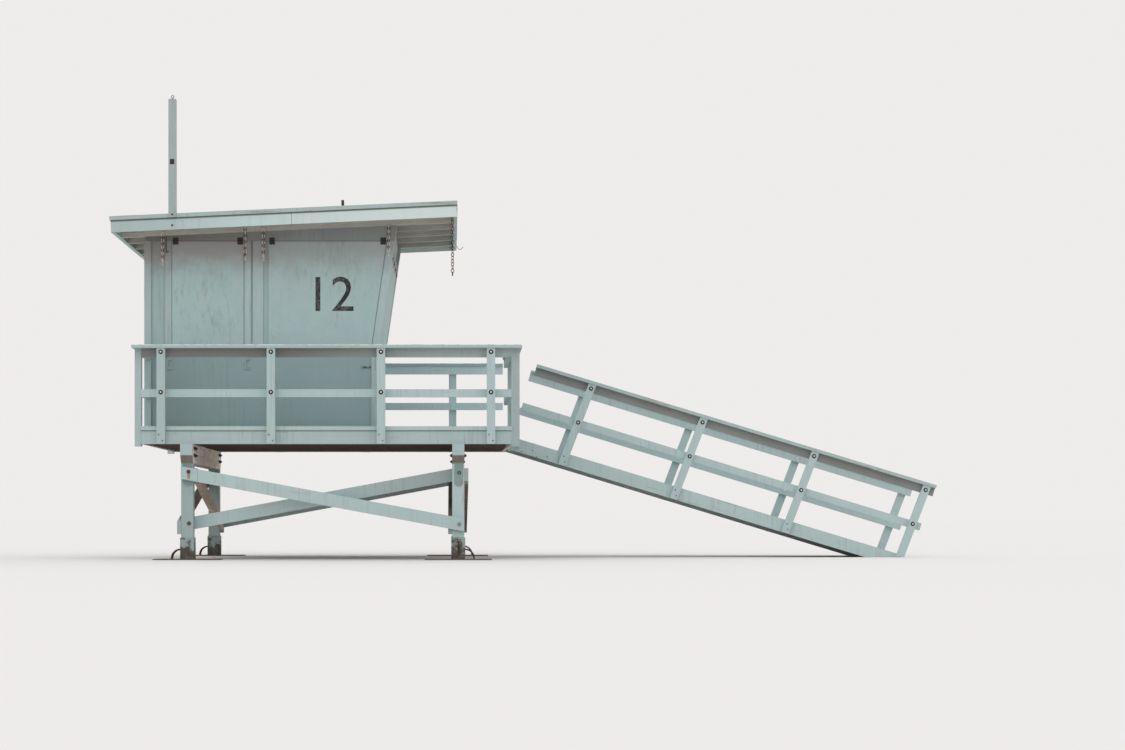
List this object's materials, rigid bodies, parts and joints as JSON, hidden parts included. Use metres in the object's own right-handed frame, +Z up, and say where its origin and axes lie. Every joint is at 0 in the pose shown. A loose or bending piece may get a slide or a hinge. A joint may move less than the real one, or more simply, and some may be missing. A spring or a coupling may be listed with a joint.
{
  "type": "lifeguard tower",
  "caption": "Closed beach lifeguard tower: a raised timber deck on braced legs, a shuttered cabin under a sloping roof, plank railings and a long boarded ramp.",
  "frame": {"origin": "on the ground under the middle of the whole tower, ramp and roof included", "axes": "+Z up; +X from the rear of the cabin to the foot of the ramp; -Y the side with two shutters"},
  "size_m": [10.7378, 3.688, 5.782],
  "materials": {
    "painted_board": "satin",
    "painted_panel": "satin",
    "weathered_beam": "matte",
    "boot_timber": "matte",
    "under_timber": "matte",
    "deck_timber": "matte",
    "roofing": "matte",
    "pane": "gloss",
    "black_steel": "satin",
    "rusty_steel": "matte"
  },
  "bodies": {
    "tower": {"legs": "painted_board", "leg_boots": "boot_timber", "base_plates": "rusty_steel", "tow_loops": "rusty_steel", "cap_beams": "weathered_beam", "long_braces": "painted_board", "cross_braces": "under_timber", "side_rims": "painted_board", "end_rims": "painted_board", "deck_joists": "under_timber", "deck_boards": "deck_timber", "nosing_strips": "painted_board", "rail_posts": "painted_board", "side_rails": "painted_board", "end_rails": "painted_board", "side_caps": "painted_board", "end_caps": "painted_board", "near_wall": "painted_panel", "far_wall": "painted_panel", "rear_wall": "painted_panel", "front_lower_wall": "painted_panel", "front_upper_wall": "painted_panel", "window_glass": "pane", "door": "painted_panel", "wall_trim": "painted_board", "header_boards": "painted_board", "far_shutter": "painted_panel", "hinge_leaves": "black_steel", "shutter_latches": "black_steel", "rafters": "painted_board", "side_fascias": "painted_board", "end_fascias": "painted_board", "drip_edges": "painted_board", "roof_boards": "under_timber", "roof_felt": "roofing", "mast": "painted_board", "roof_fittings": "black_steel", "ramp_stringers": "painted_board", "ramp_boards": "deck_timber", "ramp_battens": "deck_timber", "ramp_ledgers": "under_timber", "ramp_posts": "painted_board", "ramp_rails": "painted_board", "ramp_caps": "painted_board", "ramp_brackets": "rusty_steel"},
    "near_rear_shutter": {"near_rear_shutter": "painted_panel", "near_rear_straps": "black_steel"},
    "near_front_shutter": {"near_front_shutter": "painted_panel", "near_front_straps": "black_steel"},
    "front_shutter": {"front_shutter": "painted_panel", "front_straps": "black_steel"}
  },
  "joints": [
    {"name": "near_rear_shutter_swing", "type": "hinge", "parent": "tower", "child": "near_rear_shutter", "pos_m": [-4.20236, -1.2653, 4.033], "axis": [-1, 0, 0], "range_deg": [0, 80]},
    {"name": "near_front_shutter_swing", "type": "hinge", "parent": "tower", "child": "near_front_shutter", "pos_m": [-2.68443, -1.2653, 4.033], "axis": [-1, 0, 0], "range_deg": [0, 80]},
    {"name": "front_shutter_swing", "type": "hinge", "parent": "tower", "child": "front_shutter", "pos_m": [-1.86106, 0, 3.835], "axis": [0, -1, 0], "range_deg": [0, 80]}
  ]
}
